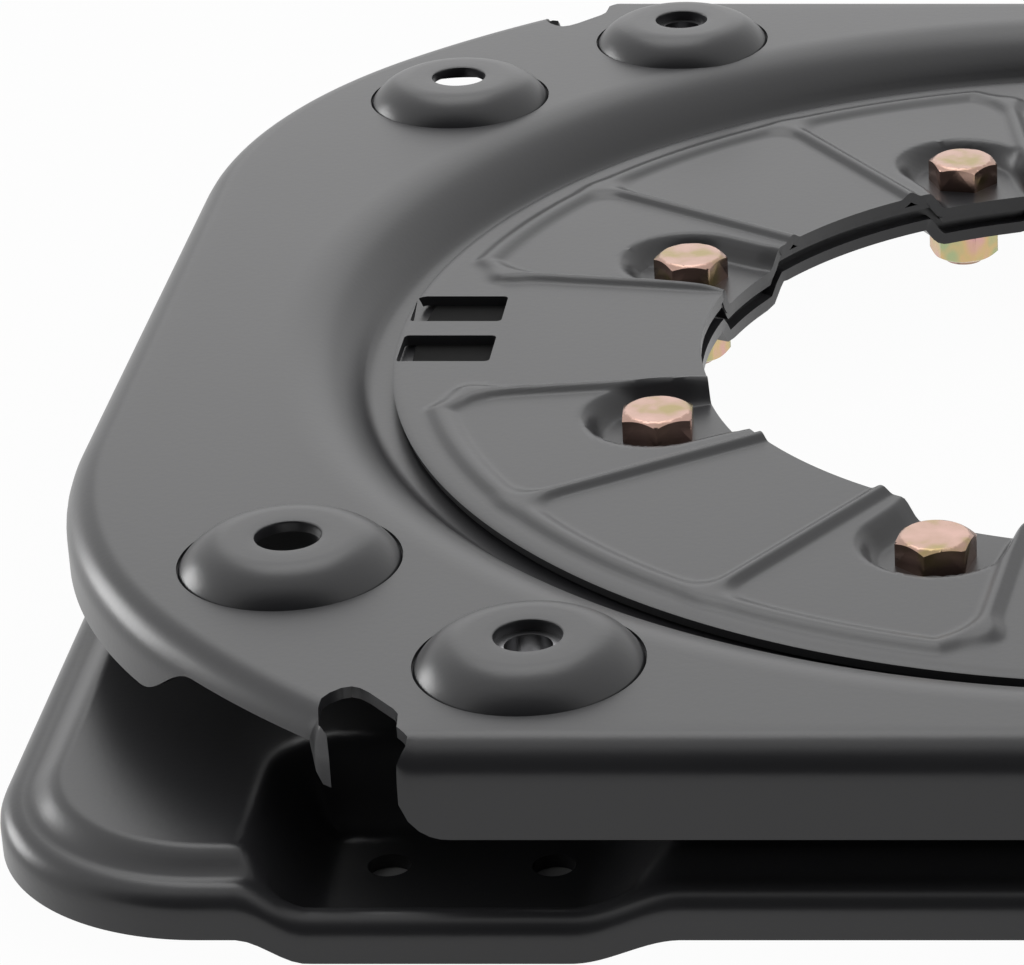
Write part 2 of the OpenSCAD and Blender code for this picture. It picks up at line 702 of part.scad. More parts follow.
// Hexagon with its outer corners turned off by a cone.
module hexagon(h, chamfer_top, chamfer_low) {
    crown = 1.2;
    intersection() {
        cylinder(r = hex_r, h = h, $fn = 6);
        union() {
            if (chamfer_low) cylinder(r1 = hex_r - 1.6 * crown, r2 = hex_r, h = crown, $fn = small_fn);
            translate([0, 0, chamfer_low ? crown : 0])
                cylinder(r = hex_r, h = h - crown * ((chamfer_low ? 1 : 0) + (chamfer_top ? 1 : 0)), $fn = small_fn);
            if (chamfer_top) translate([0, 0, h - crown])
                cylinder(r1 = hex_r, r2 = hex_r - 1.6 * crown, h = crown, $fn = small_fn);
        }
    }
}

module at_bolt(i) {
    rotate([0, 0, bolt_angles[i - 1]]) translate([bolt_circle_r, 0, 0])
        rotate([0, 0, bolt_turns[i - 1]]) children();
}

nut_top = pad_under - washer_t;
module bolt(i) color(zinc_yellow) at_bolt(i) {
    translate([0, 0, pad_top]) hexagon(head_h, true, false);
    translate([0, 0, nut_top - nut_h - thread_out])
        cylinder(r = bolt_r, h = pad_top - nut_top + nut_h + thread_out, $fn = small_fn);
}

module washer(i) color(steel_black) at_bolt(i) ring(bolt_r + thread_clear, washer_r, nut_top, washer_t);

module nut(i) color(zinc_yellow) at_bolt(i) difference() {
    translate([0, 0, nut_top - nut_h]) hexagon(nut_h, true, true);
    cylinder(r = bolt_r + thread_clear, h = far, $fn = small_fn);
}

module weld_nut(i) color(spring_steel)
    translate([corners[i - 1][0] * inner_hole_x, corners[i - 1][1] * inner_hole_y,
        boss_top - upper_sheet - weld_nut_h]) difference() {
        cylinder(r = weld_nut_flats / 2 / cos(30), h = weld_nut_h, $fn = 6);
        translate([0, 0, -overlap]) cylinder(r = weld_nut_bore_r, h = weld_nut_h + 2 * overlap, $fn = small_fn);
    }

// The lock lever hangs under the upper plate's right side. Its nose enters the window when locked.
lever_z = deck_z + lever_rise;
lever_top = lever_z + lever_t;
washer_gap = 0.1;
wave_t = 0.8;
lever_eye_r = 11;
tail_start = [224, -40];
grip_tip = [grip_tip_x, -grip_tip_y];
grip_dir = (grip_tip - tail_start) / norm(grip_tip - tail_start);
grip_start = grip_tip - grip_dir * grip_len;

// A flat bar between two points, with square ends.
module bar(from, to, w, z, t) {
    len_xy = norm(to - from);
    translate([from[0], from[1], z]) rotate([0, 0, atan2(to[1] - from[1], to[0] - from[0])])
        translate([0, -w / 2, 0]) cube([len_xy, w, t]);
}

module lock_lever() color(steel_black) difference() {
    union() {
        translate([pivot_x, pivot_y, lever_z]) cylinder(r = lever_eye_r, h = lever_t, $fn = small_fn);
        bar([pivot_x, pivot_y], tail_start, lever_w, lever_z, lever_t);
        translate([tail_start[0], tail_start[1], lever_z]) cylinder(r = lever_w / 2, h = lever_t, $fn = small_fn);
        bar(tail_start, grip_tip - 4 * grip_dir, lever_w - 3, lever_z, lever_t);
        translate([nose_free_r, -latch_w / 2, lever_z]) cube([pivot_x - nose_free_r, latch_w, lever_t]);
    }
    translate([pivot_x, pivot_y, lever_z - overlap])
        cylinder(r = pivot_r + pivot_clear, h = lever_t + 2 * overlap, $fn = small_fn);
}

// Moulded grip pushed over the lever's end.
module lever_grip() color(grip_black) difference() {
    bar(grip_start, grip_tip, lever_w - 1, lever_z - grip_wall, lever_t + 2 * grip_wall);
    bar(grip_start - overlap * grip_dir, grip_tip - 4 * grip_dir, lever_w - 3, lever_z, lever_t);
}

// Shoulder stud welded under the upper plate.
module pivot_stud() color(spring_steel) translate([pivot_x, pivot_y, 0]) {
    shoulder_z = lever_top + wave_t + 2 * washer_gap;
    translate([0, 0, shoulder_z])
        cylinder(r = shoulder_r, h = flat_top - upper_sheet - shoulder_z, $fn = small_fn);
    translate([0, 0, deck_z + 0.4]) cylinder(r = pivot_r, h = shoulder_z - deck_z - 0.4, $fn = small_fn);
}

module friction_washer() color(spring_steel) translate([pivot_x, pivot_y, 0])
    ring(pivot_r + pivot_clear, shoulder_r + 1, lever_top + washer_gap, wave_t);

module pivot_clip() color(spring_steel) translate([pivot_x, pivot_y, 0])
    ring(pivot_r, shoulder_r, deck_z + 0.9, lever_rise - 0.9 - washer_gap);

lower_plate();
upper_plate();
clamp_disc();
spacer_plate();
shim_ring();
lower_slide_ring();
upper_slide_ring();
bolt(1);  // bolt_1
bolt(2);  // bolt_2
bolt(3);  // bolt_3
bolt(4);  // bolt_4
bolt(5);  // bolt_5
bolt(6);  // bolt_6
bolt(7);  // bolt_7
bolt(8);  // bolt_8
washer(1);  // washer_1
washer(2);  // washer_2
washer(3);  // washer_3
washer(4);  // washer_4
washer(5);  // washer_5
washer(6);  // washer_6
washer(7);  // washer_7
washer(8);  // washer_8
nut(1);  // nut_1
nut(2);  // nut_2
nut(3);  // nut_3
nut(4);  // nut_4
nut(5);  // nut_5
nut(6);  // nut_6
nut(7);  // nut_7
nut(8);  // nut_8
weld_nut(1);  // weld_nut_1
weld_nut(2);  // weld_nut_2
weld_nut(3);  // weld_nut_3
weld_nut(4);  // weld_nut_4
lock_lever();
lever_grip();
pivot_stud();
friction_washer();
pivot_clip();
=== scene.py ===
import math
import bpy
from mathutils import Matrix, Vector


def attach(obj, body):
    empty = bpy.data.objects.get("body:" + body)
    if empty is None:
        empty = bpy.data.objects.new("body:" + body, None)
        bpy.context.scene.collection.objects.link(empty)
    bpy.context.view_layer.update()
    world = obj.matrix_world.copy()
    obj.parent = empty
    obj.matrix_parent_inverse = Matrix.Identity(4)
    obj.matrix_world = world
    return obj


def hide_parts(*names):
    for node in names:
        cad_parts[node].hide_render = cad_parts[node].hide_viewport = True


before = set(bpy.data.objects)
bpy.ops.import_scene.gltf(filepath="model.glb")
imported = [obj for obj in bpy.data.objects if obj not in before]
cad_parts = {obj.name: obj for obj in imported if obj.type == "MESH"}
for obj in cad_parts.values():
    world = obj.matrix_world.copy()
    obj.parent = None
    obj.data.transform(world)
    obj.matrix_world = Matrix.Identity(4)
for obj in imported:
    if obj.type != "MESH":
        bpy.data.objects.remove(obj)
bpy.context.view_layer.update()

bpy.context.scene.view_settings.view_transform = "Standard"

# Camera and studio.
# The photograph looks down at the left half of the base through a long lens, 25 degrees below level.
# A white sweep and broad soft lamps stand for the photographer's table.
camera_data = bpy.data.cameras.new("photo_camera")
camera_data.lens = 157.0
camera_data.sensor_width = 36.0
camera_data.shift_x = -0.566
camera_data.clip_start = 0.05
camera_data.clip_end = 30.0
camera = bpy.data.objects.new("photo_camera", camera_data)
camera.location = (-0.013, -0.9905, 0.468)
camera.rotation_euler = (math.radians(64.747), 0.0, 0.0)
bpy.context.scene.collection.objects.link(camera)
bpy.context.scene.camera = camera


def linear(hex_text):
    """An sRGB colour such as #8a8a8a as linear RGBA."""
    out = []
    for i in (1, 3, 5):
        c = int(hex_text[i:i + 2], 16) / 255
        out.append(c / 12.92 if c <= 0.04045 else ((c + 0.055) / 1.055) ** 2.4)
    return (*out, 1.0)


def add_node(tree, kind, links=(), **settings):
    """One node with its settings; links are (socket, where it comes from)."""
    node = tree.nodes.new(kind)
    for name, value in settings.items():
        if name in node.inputs:
            node.inputs[name].default_value = value
        elif name.replace("_", " ") in node.inputs:
            node.inputs[name.replace("_", " ")].default_value = value
        else:
            setattr(node, name, value)
    for socket, source in links:
        tree.links.new(source, node.inputs[socket])
    return node


def new_material(name):
    """An empty material: its tree, its shader and its object coordinates."""
    material = bpy.data.materials.new(name)
    material.use_nodes = True
    tree = material.node_tree
    shader = tree.nodes["Principled BSDF"]
    coords = tree.nodes.new("ShaderNodeTexCoord").outputs["Object"]
    return material, tree, shader, coords


def seen_directly(tree):
    """1 for what the camera, a reflection or glass sees, and 0 for what lights the object."""
    path = tree.nodes.new("ShaderNodeLightPath")
    first = add_node(tree, "ShaderNodeMath", [(0, path.outputs["Is Camera Ray"]), (1, path.outputs["Is Glossy Ray"])],
                     operation="MAXIMUM")
    return add_node(tree, "ShaderNodeMath", [(0, first.outputs[0]), (1, path.outputs["Is Transmission Ray"])],
                    operation="MAXIMUM").outputs[0]


# A white sweep behind, beside and above the object, and a dark room high in front of it.
world = bpy.data.worlds.new("studio")
world.use_nodes = True
bpy.context.scene.world = world
sky = world.node_tree
backdrop = sky.nodes["Background"]
way = sky.nodes.new("ShaderNodeTexCoord").outputs["Generated"]
lean = add_node(sky, "ShaderNodeVectorMath", [(0, way)], operation="DOT_PRODUCT")
lean.inputs[1].default_value = (0.0, -1.0, 0.35)
ceiling = add_node(sky, "ShaderNodeMapRange", [("Value", lean.outputs["Value"])], interpolation_type="SMOOTHSTEP",
                   From_Min=0.42, From_Max=0.9)
walls = add_node(sky, "ShaderNodeMix", [(0, ceiling.outputs["Result"])], data_type="RGBA")
walls.inputs[6].default_value = (1.0, 1.0, 1.0, 1.0)
walls.inputs[7].default_value = linear("#1c1c1c")
sky.links.new(walls.outputs[2], backdrop.inputs["Color"])
backdrop.inputs["Strength"].default_value = 1.0

# White paper that stays white in the picture, with the object's own soft shadow left on it. In patches under the
# feet's fixing holes the glow is left out, so the paper seen through the holes shows painted shade.
bpy.ops.object.select_all(action="DESELECT")
bpy.ops.mesh.primitive_plane_add(size=12.0, location=(0.0, 0.0, -0.0002))
floor = bpy.context.object
floor.name = "studio_floor"
paper, tree, shader, coords = new_material("matt white background paper")
shader.inputs["Base Color"].default_value = linear("#a8a8a8")
shader.inputs["Roughness"].default_value = 0.9
glow = add_node(tree, "ShaderNodeEmission", Color=(1.0, 1.0, 1.0, 1.0), Strength=1.0)
side = add_node(tree, "ShaderNodeSeparateXYZ", [(0, coords)])
# Painted shade: no glow within about 34 mm across and 20 mm in depth of the holes' middles at x 141 mm, y 190 mm.
reach = []
for axis, middle, half in (("X", 0.141, 0.034), ("Y", 0.190, 0.02)):
    far_out = add_node(tree, "ShaderNodeMath", [(0, side.outputs[axis])], operation="ABSOLUTE")
    off = add_node(tree, "ShaderNodeMath", [(0, far_out.outputs[0])], operation="SUBTRACT")
    off.inputs[1].default_value = middle
    near = add_node(tree, "ShaderNodeMath", [(0, off.outputs[0])], operation="ABSOLUTE")
    share = add_node(tree, "ShaderNodeMath", [(0, near.outputs[0])], operation="DIVIDE")
    share.inputs[1].default_value = half
    reach.append(share.outputs[0])
clear_of_hole_shade = add_node(tree, "ShaderNodeMath", [(0, reach[0]), (1, reach[1])], operation="MAXIMUM")
lit = add_node(tree, "ShaderNodeMapRange", [("Value", clear_of_hole_shade.outputs[0])], From_Min=0.95, From_Max=1.05,
               To_Max=0.97)
amount = add_node(tree, "ShaderNodeMath", [(0, lit.outputs["Result"]), (1, seen_directly(tree))],
                  operation="MULTIPLY")
blend = add_node(tree, "ShaderNodeMixShader", [(0, amount.outputs[0]), (1, shader.outputs[0]), (2, glow.outputs[0])])
tree.links.new(blend.outputs[0], tree.nodes["Material Output"].inputs["Surface"])
floor.data.materials.append(paper)

for name, place, aim, size, power in (
        ("rear softbox", (-0.4, 2.6, 1.4), (-0.05, 0.0, 0.03), 1.8, 6.0),
        ("upper softbox", (-0.4, 1.3, 2.2), (-0.05, 0.0, 0.03), 1.2, 10.0),
        ("left softbox", (-2.0, 0.75, 0.35), (-0.2, -0.1, 0.03), 0.9, 16.0)):
    lamp = bpy.data.lights.new(name, "AREA")
    lamp.shape = "SQUARE"
    lamp.size = size
    lamp.energy = power
    holder = bpy.data.objects.new(name, lamp)
    holder.location = place
    holder.rotation_euler = (Vector(aim) - Vector(place)).to_track_quat("-Z", "Y").to_euler()
    bpy.context.scene.collection.objects.link(holder)

# Black pressed steel: the two plates, the clamp disc and the packing between them.
# Each is deep-drawn sheet with a satin black powder coat, which lies a little thicker and
# softer over every edge. The pieces keep the true pressed form and get smooth drawn radii.
coat, tree, shader, coords = new_material("satin black powder coat on pressed steel")
shader.inputs["IOR"].default_value = 1.5
# Powder coat levels out unevenly: a broad change of shade over about 60 mm.
cloud = add_node(tree, "ShaderNodeTexNoise", [("Vector", coords)], Scale=16.0, Detail=3.0, Roughness=0.5)
shade = add_node(tree, "ShaderNodeValToRGB", [(0, cloud.outputs["Fac"])])
shade.color_ramp.elements[0].position = 0.3
shade.color_ramp.elements[0].color = linear("#2b2b2d")
shade.color_ramp.elements[1].position = 0.75
shade.color_ramp.elements[1].color = linear("#303032")
tree.links.new(shade.outputs[0], shader.inputs["Base Color"])
# Orange peel of about 1.4 mm, drawn shallow.
peel = add_node(tree, "ShaderNodeTexNoise", [("Vector", coords)], Scale=700.0, Detail=2.0, Roughness=0.4)
relief = add_node(tree, "ShaderNodeBump", [("Height", peel.outputs["Fac"])], Strength=0.05, Distance=0.0004)
tree.links.new(relief.outputs[0], shader.inputs["Normal"])
gloss = add_node(tree, "ShaderNodeMapRange", [("Value", cloud.outputs["Fac"])])
gloss.inputs["To Min"].default_value = 0.29
gloss.inputs["To Max"].default_value = 0.35
tree.links.new(gloss.outputs[0], shader.inputs["Roughness"])


def dressed_copy(node, body, material, angle=32.0):
    """A smooth-shaded piece with a CAD node's own form, standing for that node."""
    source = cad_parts[node]
    piece = source.copy()
    piece.data = source.data.copy()
    piece.name = node + "_dressed"
    piece.parent = None
    bpy.context.scene.collection.objects.link(piece)
    bpy.ops.object.select_all(action="DESELECT")
    piece.hide_render = False
    piece.hide_viewport = False
    piece.select_set(True)
    bpy.context.view_layer.objects.active = piece
    bpy.ops.object.transform_apply(location=True, rotation=True, scale=True)
    bpy.ops.object.mode_set(mode="EDIT")
    bpy.ops.mesh.select_all(action="SELECT")
    bpy.ops.mesh.remove_doubles(threshold=0.00001)
    bpy.ops.object.mode_set(mode="OBJECT")
    bpy.ops.object.shade_smooth_by_angle(angle=math.radians(angle))
    even = piece.modifiers.new("even shading", "WEIGHTED_NORMAL")
    even.keep_sharp = True
    even.weight = 100
    bpy.ops.object.modifier_apply(modifier=even.name)
    piece.data.materials.clear()
    piece.data.materials.append(material)
    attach(piece, body)
    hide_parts(node)
    return piece


for node in ("spacer_plate", "shim_ring"):
    dressed_copy(node, "base", coat)

# Lower plate.
# Deep-drawn 3 mm sheet: a raised centre under the clamp, a main face, a lower ledge with a
# rounded nose and a skirt, and four feet pressed down to the seat box, two holes in each.
MM = 0.001
BASE_X, BASE_Y, BASE_CORNER, BASE_SHEET = 239.5, 224.0, 48.0, 3.0
DECK, LEDGE, SKIRT, NOSE = 20.0, 16.0, 5.5, 5.0
CENTRE, OPENING, BOLT_CIRCLE = 33.5, 107.0, 123.0
FOOT_TOP, FOOT_LEDGE = 3.0, 10.0
BOLT_HOLE_R, FIXING_R, FIXING_Y = 5.5, 4.5, 190.0
# Latch window: middle across and in depth, height over the floor, then its three sizes, in metres.
LATCH_X, LATCH_Y, LATCH_Z = 0.2068, 0.00237, 0.02425
LATCH_BOX = (0.03, 0.018, 0.0055)


def soft(value, start, end):
    """0 before start and 1 after end, with a soft S between."""
    t = min(max((value - start) / (end - start), 0.0), 1.0)
    return t * t * (3 - 2 * t)


def grid_piece(name, wide, deep, place):
    """A sheet of wide x deep faces, each corner put where place(i, j) says, in millimetres."""
    bpy.ops.object.select_all(action="DESELECT")
    bpy.ops.mesh.primitive_grid_add(x_subdivisions=wide, y_subdivisions=deep, size=2.0)
    piece = bpy.context.object
    piece.name = name
    for v in piece.data.vertices:
        i = round((v.co.x + 1) / 2 * wide)
        j = round((v.co.y + 1) / 2 * deep)
        v.co = Vector(place(i, j)) * MM
    bpy.ops.object.mode_set(mode="EDIT")
    bpy.ops.mesh.select_all(action="SELECT")
    bpy.ops.mesh.remove_doubles(threshold=0.000005)
    bpy.ops.mesh.normals_make_consistent(inside=False)
    bpy.ops.object.mode_set(mode="OBJECT")
    return piece


def face_up(piece):
    """Turns all faces over if the sheet's broad faces look down."""
    if sum(f.normal.z * f.area for f in piece.data.polygons) < 0:
        bpy.ops.object.mode_set(mode="EDIT")
        bpy.ops.mesh.select_all(action="SELECT")
        bpy.ops.mesh.flip_normals()
        bpy.ops.object.mode_set(mode="OBJECT")


def finish_with(piece, kind, **settings):
    """Adds one modifier and applies it."""
    bpy.context.view_layer.objects.active = piece
    change = piece.modifiers.new(kind.lower(), kind)
    for name, value in settings.items():
        setattr(change, name, value)
    bpy.ops.object.modifier_apply(modifier=change.name)


def cut_away(piece, cutter, how="DIFFERENCE"):
    """Cuts a helper solid out of a piece, or joins it on, and removes the helper."""
    finish_with(piece, "BOOLEAN", object=cutter, operation=how, solver="MANIFOLD")
    bpy.data.objects.remove(cutter)


def base_edge(turn):
    """Point of the lower plate's outline in a direction, and the way straight out from there."""
    dx, dy = math.cos(turn), math.sin(turn)
    sx, sy = math.copysign(1.0, dx), math.copysign(1.0, dy)
    dx, dy = abs(dx), abs(dy)
    cx, cy = BASE_X - BASE_CORNER, BASE_Y - BASE_CORNER
    if dy * BASE_X <= cy * dx:
        reach, out = BASE_X / dx, (1.0, 0.0)
    elif dx * BASE_Y <= cx * dy:
        reach, out = BASE_Y / dy, (0.0, 1.0)
    else:
        along = dx * cx + dy * cy
        reach = along + math.sqrt(along ** 2 - cx ** 2 - cy ** 2 + BASE_CORNER ** 2)
        out = ((reach * dx - cx) / BASE_CORNER, (reach * dy - cy) / BASE_CORNER)
    return (sx * reach * dx, sy * reach * dy), (sx * out[0], sy * out[1])


def bolt_seat(x, y, floor_r, slope_w):
    """1 on the floor of a sunk bolt seat or in its channel to the opening, 0 away from it."""
    bolt = math.radians(round((math.degrees(math.atan2(y, x)) - 22.5) / 45) * 45 + 22.5)
    u = x * math.cos(bolt) + y * math.sin(bolt) - BOLT_CIRCLE
    v = -x * math.sin(bolt) + y * math.cos(bolt)
    d = math.hypot(u, v) if u > 0 else abs(v) + 0.14 * floor_r * min(-u / 12.0, 1.0)
    return 1 - soft(d, floor_r, floor_r + slope_w)


def foot_dip(x, y):
    """How far the plate is pressed down towards a foot's floor, across and over all."""
    across = soft(abs(x), 95.0, 117.0) * (1 - soft(abs(x), 170.0, 184.0)) if abs(y) > 150 else 0.0
    return across, across * soft(abs(y), 164.0, 179.5)


# Section of the raised centre: radius and height from the opening out to the main face.
centre_line = [(OPENING, CENTRE)] + [(109.0 + 2.5 * k, CENTRE) for k in range(14)]
centre_line += [(155.0, CENTRE), (175.0, CENTRE), (191.0, CENTRE)]
for k in range(6):
    a = math.radians(90 - 65 * k / 5)
    centre_line.append((193.0 + 6.0 * math.cos(a), CENTRE - 6.0 + 6.0 * math.sin(a)))
centre_line += [(200.7, 25.6), (202.6, 21.6), (203.4, 20.5), (204.6, 20.05)]
nose_line = [(0.0, 0.0), (0.0, 0.35), (0.0, 0.7), (0.0, 1.0)]
for k in range(1, 7):
    a = math.radians(90 * k / 6)
    nose_line.append((NOSE * (1 - math.cos(a)), 1.0 + math.sin(a)))
DECK_STEPS = 28
shelf_line = (14.0, 13.0, 11.8, 10.6, 9.6, 8.7, 7.8, 6.9, 6.0)


# The grid is close over the feet and round the corners.
base_turns = []
for quarter in range(4):
    t = 0.0
    while t < 89.99:
        base_turns.append(90 * quarter + (t if quarter % 2 == 0 else 90 - t) % 90)
        t += 0.34 if 34.0 < t < 67.4 else 1.25
base_turns = sorted(set(round(t, 5) for t in base_turns))


def lower_corner(i, j):
    turn = math.radians(base_turns[i % len(base_turns)])
    if j < len(centre_line):
        r, z = centre_line[j]
        x, y = r * math.cos(turn), r * math.sin(turn)
        return x, y, z - (5.0 * bolt_seat(x, y, 13.0, 5.0) if r < 150 else 0.0)
    (px, py), (nx, ny) = base_edge(turn)
    j -= len(centre_line)
    if j < DECK_STEPS:
        t = (j + 1) / (DECK_STEPS + 1)
        ax, ay = centre_line[-1][0] * math.cos(turn), centre_line[-1][0] * math.sin(turn)
        bx, by = px - shelf_line[0] * nx, py - shelf_line[0] * ny
        x, y = ax + (bx - ax) * t, ay + (by - ay) * t
        return x, y, DECK - (DECK - FOOT_TOP) * foot_dip(x, y)[1]
    j -= DECK_STEPS
    if j < len(shelf_line):
        x, y = px - shelf_line[j] * nx, py - shelf_line[j] * ny
        across, dip = foot_dip(x, y)
        ledge = LEDGE - (LEDGE - FOOT_LEDGE) * across
        floor = DECK - (DECK - FOOT_TOP) * dip
        return x, y, ledge + (floor - ledge) * soft(shelf_line[j], 5.5, 13.0 - 4.5 * across)
    inset, up = nose_line[len(nose_line) - 1 - (j - len(shelf_line))]
    across = foot_dip(px - inset * nx, py - inset * ny)[0]
    ledge = LEDGE - (LEDGE - FOOT_LEDGE) * across
    low = SKIRT * (1 - across)
    z = low + (ledge - NOSE - low) * min(up, 1.0) + NOSE * max(up - 1.0, 0.0)
    return px - inset * nx, py - inset * ny, z


lower = grid_piece("lower_plate_pressed", len(base_turns),
                   len(centre_line) + DECK_STEPS + len(shelf_line) + len(nose_line) - 1, lower_corner)
face_up(lower)
finish_with(lower, "SOLIDIFY", thickness=BASE_SHEET * MM, offset=-1.0)
for v in lower.data.vertices:
    v.co.z = max(v.co.z, 0.0)
hole_places = [(sx * x, sy * FIXING_Y, FIXING_R) for x in (124.0, 158.0) for sx in (1, -1) for sy in (1, -1)]
for k in range(8):
    a = math.radians(22.5 + 45 * k)
    hole_places.append((BOLT_CIRCLE * math.cos(a), BOLT_CIRCLE * math.sin(a), BOLT_HOLE_R))
for x, y, r in hole_places:
    bpy.ops.object.select_all(action="DESELECT")
    bpy.ops.mesh.primitive_cylinder_add(vertices=40, radius=r * MM, depth=0.08, location=(x * MM, y * MM, 0.015))
    cutter = bpy.context.object
    bpy.ops.object.transform_apply(location=True, rotation=True, scale=True)
    cut_away(lower, cutter)
# The two windows in the raised centre's wall that take the latch.
for sx in (1, -1):
    bpy.ops.object.select_all(action="DESELECT")
    bpy.ops.mesh.primitive_cube_add(size=1.0, location=(sx * LATCH_X, sx * LATCH_Y, LATCH_Z), scale=LATCH_BOX)
    cutter = bpy.context.object
    bpy.ops.object.transform_apply(location=True, rotation=True, scale=True)
    cut_away(lower, cutter)
bpy.ops.object.select_all(action="DESELECT")
lower.select_set(True)
bpy.context.view_layer.objects.active = lower
bpy.ops.object.shade_smooth_by_angle(angle=math.radians(35))
finish_with(lower, "WEIGHTED_NORMAL", keep_sharp=True, weight=100)
lower.data.materials.clear()
lower.data.materials.append(coat)
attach(lower, "base")
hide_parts("lower_plate")

# Upper plate.
# Deep-drawn 2.5 mm sheet: a flat top that dips in a round dish to the turning rim, with a
# down-turned flange all round and a notch at each corner, where the blank was relieved.
TOP, SHEET, BEND = 49.0, 2.5, 8.0
HALF_X, HALF_Y, CORNER_R, BLEND_R = 241.0, 224.0, 270.0, 150.0
FLANGE_LOW = 28.5
# How far the stop tab reaches in from the turning rim, where it sits and half its width, in degrees.
TAB_REACH, TAB_TURN, TAB_HALF = 6.1, 300.0, 5.0
blend_x = HALF_X - BLEND_R
blend_y = math.sqrt((CORNER_R - BLEND_R) ** 2 - blend_x ** 2)


def plate_edge(turn):
    """Point of the plate's outline in a direction, and the way straight out from there."""
    dx, dy = math.cos(turn), math.sin(turn)
    sx, sy = math.copysign(1.0, dx), math.copysign(1.0, dy)
    dx, dy = abs(dx), abs(dy)
    across = math.atan2(dy, dx)
    if across < math.atan2(blend_y, HALF_X):
        reach, out = HALF_X / dx, (1.0, 0.0)
    elif across < math.atan2(blend_y, blend_x):
        along = dx * blend_x + dy * blend_y
        reach = along + math.sqrt(along ** 2 - blend_x ** 2 - blend_y ** 2 + BLEND_R ** 2)
        out = ((reach * dx - blend_x) / BLEND_R, (reach * dy - blend_y) / BLEND_R)
    elif across < math.asin(HALF_Y / CORNER_R):
        turned = soft(math.degrees(across), 52.9, math.degrees(math.asin(HALF_Y / CORNER_R)))
        nx, ny = dx * (1 - turned), dy * (1 - turned) + turned
        reach, out = CORNER_R, (nx / math.hypot(nx, ny), ny / math.hypot(nx, ny))
    else:
        reach, out = HALF_Y / dy, (0.0, 1.0)
    return (sx * reach * dx, sy * reach * dy), (sx * out[0], sy * out[1])


def flange_edge(x, y):
    """Height of the flange's lower edge at a point of the outline."""
    x, y = abs(x), abs(y)
    if y > HALF_Y - 0.5:
        gap = min(max(149.0 - x, 0.0), 9.0)
        return FLANGE_LOW + 9.0 - math.sqrt(81.0 - (9.0 - gap) ** 2)
    low = FLANGE_LOW + 5.5 * soft(y, 92.0, 118.0)
    low += 9.6 * soft(-x, -211.0, -197.0)
    return low - 8.6 * soft(-x, -168.2, -166.6)


# Section from the turning rim outwards: radius and height up to the flat top.
rim_line = [(150.0, 37.0), (165.0, 37.0), (180.0, 37.0), (183.6, 37.2), (185.6, 37.9), (187.0, 39.2)]
for k in range(9):
    a = math.radians(140.0 - 50.0 * k / 8)
    rim_line.append((206.0 + 23.5 * math.cos(a), TOP - 23.5 + 23.5 * math.sin(a)))
rim_line.append((207.5, TOP))
FLAT_STEPS, EDGE_STEPS = 6, 14
AROUND = 960


def upper_corner(i, j):
    turn = 2 * math.pi * i / AROUND
    if j < len(rim_line):
        r, z = rim_line[j]
        if j == 0:
            # The stop tab reaches into the spacer plate's groove.
            r -= TAB_REACH * (1 - soft(abs(math.degrees(turn) % 360 - TAB_TURN), TAB_HALF - 1.0, TAB_HALF))
        return r * math.cos(turn), r * math.sin(turn), z
    (px, py), (nx, ny) = plate_edge(turn)
    j -= len(rim_line) - 1
    if j <= FLAT_STEPS:
        t = j / FLAT_STEPS
        ax, ay = rim_line[-1][0] * math.cos(turn), rim_line[-1][0] * math.sin(turn)
        return ax + (px - BEND * nx - ax) * t, ay + (py - BEND * ny - ay) * t, TOP
    drop = TOP - flange_edge(px, py)
    full = BEND * math.acos(1 - min(drop, BEND) / BEND)
    run = (full + max(drop - BEND, 0.0)) * (j - FLAT_STEPS) / EDGE_STEPS
    a = min(run, full) / BEND
    inset = BEND * (1 - math.sin(a))
    return px - inset * nx, py - inset * ny, TOP - BEND * (1 - math.cos(a)) - max(run - full, 0.0)


upper = grid_piece("upper_plate_pressed", AROUND, len(rim_line) - 1 + FLAT_STEPS + EDGE_STEPS, upper_corner)
face_up(upper)
finish_with(upper, "SOLIDIFY", thickness=SHEET * MM, offset=-1.0)

# Corner notches: sheared out of the blank before pressing, with rounded tops.
notch_line = [(163.9, 240.0), (163.9, 214.6), (164.5, 212.2), (166.4, 209.6), (166.9, 206.0), (166.7, 203.2),
              (165.4, 200.7), (163.4, 198.7), (161.4, 198.0), (159.6, 198.7), (157.4, 200.7), (151.6, 207.6),
              (150.5, 209.6), (150.2, 212.4), (150.0, 215.0), (148.6, 216.8), (147.4, 218.4), (147.6, 220.6),
              (149.2, 223.0), (149.3, 240.0)]
for sx in (1, -1):
    for sy in (1, -1):
        bpy.ops.object.select_all(action="DESELECT")
        bpy.ops.mesh.primitive_circle_add(vertices=len(notch_line), radius=1.0, fill_type="NGON")
        cutter = bpy.context.object
        for v, (x, y) in zip(cutter.data.vertices, notch_line):
            v.co = Vector((sx * x, sy * y, 20.0)) * MM
        bpy.ops.object.mode_set(mode="EDIT")
        bpy.ops.mesh.select_all(action="SELECT")
        bpy.ops.mesh.extrude_region_move(TRANSFORM_OT_translate={"value": (0, 0, 0.04)})
        bpy.ops.mesh.select_all(action="SELECT")
        bpy.ops.mesh.normals_make_consistent(inside=False)
        bpy.ops.object.mode_set(mode="OBJECT")
        cut_away(upper, cutter)

